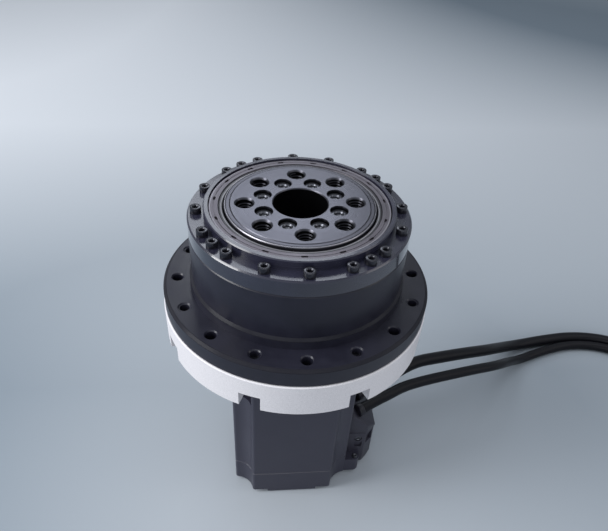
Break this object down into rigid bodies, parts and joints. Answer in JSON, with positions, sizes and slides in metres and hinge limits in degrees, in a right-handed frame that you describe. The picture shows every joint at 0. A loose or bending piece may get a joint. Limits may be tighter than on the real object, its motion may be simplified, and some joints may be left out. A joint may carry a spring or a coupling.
{
  "type": "robot joint actuator",
  "caption": "Hollow-face rotary joint actuator: a square servo motor drives a strain wave reducer with a crossed roller output bearing and a bolting flange.",
  "frame": {"origin": "on the axis of rotation, at the underside of the rear plate that the motor stands on", "axes": "+Z along the axis of rotation, out of the output face; +X towards the connector housing"},
  "size_m": [0.3374, 0.1411, 0.1631],
  "materials": {
    "black_housing": "satin black, machined and blackened",
    "gloss_black_ring": "black, ground and polished",
    "output_steel": "fine turned face",
    "ground_steel": "ground",
    "retainer_steel": "turned, slightly warm",
    "seal_rubber": "smooth",
    "black_screws": "black oxide",
    "bright_screws": "zinc plated",
    "white_ring": "fine matt light coating",
    "black_motor": "satin black",
    "cast_aluminium": "machined",
    "copper": "enamelled wire",
    "magnet": "plated",
    "black_plastic": "fine grain",
    "gland_plastic": "smooth",
    "circuit_board": "solder mask",
    "cable_jacket": "smooth jacket",
    "plug_white": "moulded"
  },
  "bodies": {
    "base": {"adapter_ring": "white_ring", "adapter_screws": "black_screws", "bearing_outer_lower": "black_housing", "bearing_outer_upper": "gloss_black_ring", "box_screws": "bright_screws", "cable_exit_block": "black_plastic", "cable_glands": "gland_plastic", "circular_spline": "ground_steel", "connector_box": "black_plastic", "cover_screws": "bright_screws", "encoder_board": "circuit_board", "encoder_cable": "cable_jacket", "encoder_plug": "plug_white", "flange_housing": "black_housing", "front_bearing_outer_ring": "ground_steel", "input_seal": "seal_rubber", "motor_frame": "black_motor", "motor_front_flange": "black_motor", "motor_mount_screws": "black_screws", "motor_rear_cover": "black_motor", "output_seal": "seal_rubber", "power_cable": "cable_jacket", "power_plug": "plug_white", "rear_bearing_outer_ring": "ground_steel", "rear_plate": "black_motor", "ring_screws": "black_screws", "seal_retainer": "retainer_steel", "spline_screws": "black_screws", "stator_core": "ground_steel", "stator_windings": "copper"},
    "input": {"motor_shaft": "ground_steel", "shaft_key": "ground_steel", "rotor_core": "ground_steel", "rotor_magnets": "magnet", "encoder_disc": "black_plastic", "front_bearing_inner_ring": "ground_steel", "rear_bearing_inner_ring": "ground_steel", "wave_generator_cam": "cast_aluminium", "cam_retainer": "cast_aluminium", "wave_bearing_inner_race": "ground_steel", "wave_bearing_balls": "ground_steel"},
    "output": {"output_flange": "output_steel", "bearing_inner_ring": "ground_steel", "output_screws": "black_screws", "bore_cap": "black_plastic", "flexspline_clamp_ring": "ground_steel", "flexspline": "ground_steel", "wave_bearing_outer_race": "ground_steel"},
    "rollers": {"crossed_rollers": "ground_steel", "roller_spacers": "black_plastic"},
    "front_balls": {"front_bearing_balls": "ground_steel"},
    "rear_balls": {"rear_bearing_balls": "ground_steel"}
  },
  "joints": [
    {"name": "input_spin", "type": "hinge", "parent": "base", "child": "input", "pos_m": [0, 0, 0.08], "axis": [0, 0, 1], "continuous": true, "deforming": ["flexspline", "wave_bearing_outer_race"]},
    {"name": "output_spin", "type": "hinge", "parent": "base", "child": "output", "pos_m": [0, 0, 0.1518], "axis": [0, 0, 1], "continuous": true},
    {"name": "roller_cage_spin", "type": "hinge", "parent": "base", "child": "rollers", "pos_m": [0, 0, 0.1518], "axis": [0, 0, 1], "continuous": true},
    {"name": "front_ball_cage_spin", "type": "hinge", "parent": "base", "child": "front_balls", "pos_m": [0, 0, 0.0928], "axis": [0, 0, 1], "continuous": true},
    {"name": "rear_ball_cage_spin", "type": "hinge", "parent": "base", "child": "rear_balls", "pos_m": [0, 0, 0.025], "axis": [0, 0, 1], "continuous": true}
  ],
  "couplings": [
    {"joint": "output_spin", "follows": "input_spin", "ratio": -0.02},
    {"joint": "roller_cage_spin", "follows": "input_spin", "ratio": -0.0094675},
    {"joint": "front_ball_cage_spin", "follows": "input_spin", "ratio": 0.40385},
    {"joint": "rear_ball_cage_spin", "follows": "input_spin", "ratio": 0.3875}
  ]
}
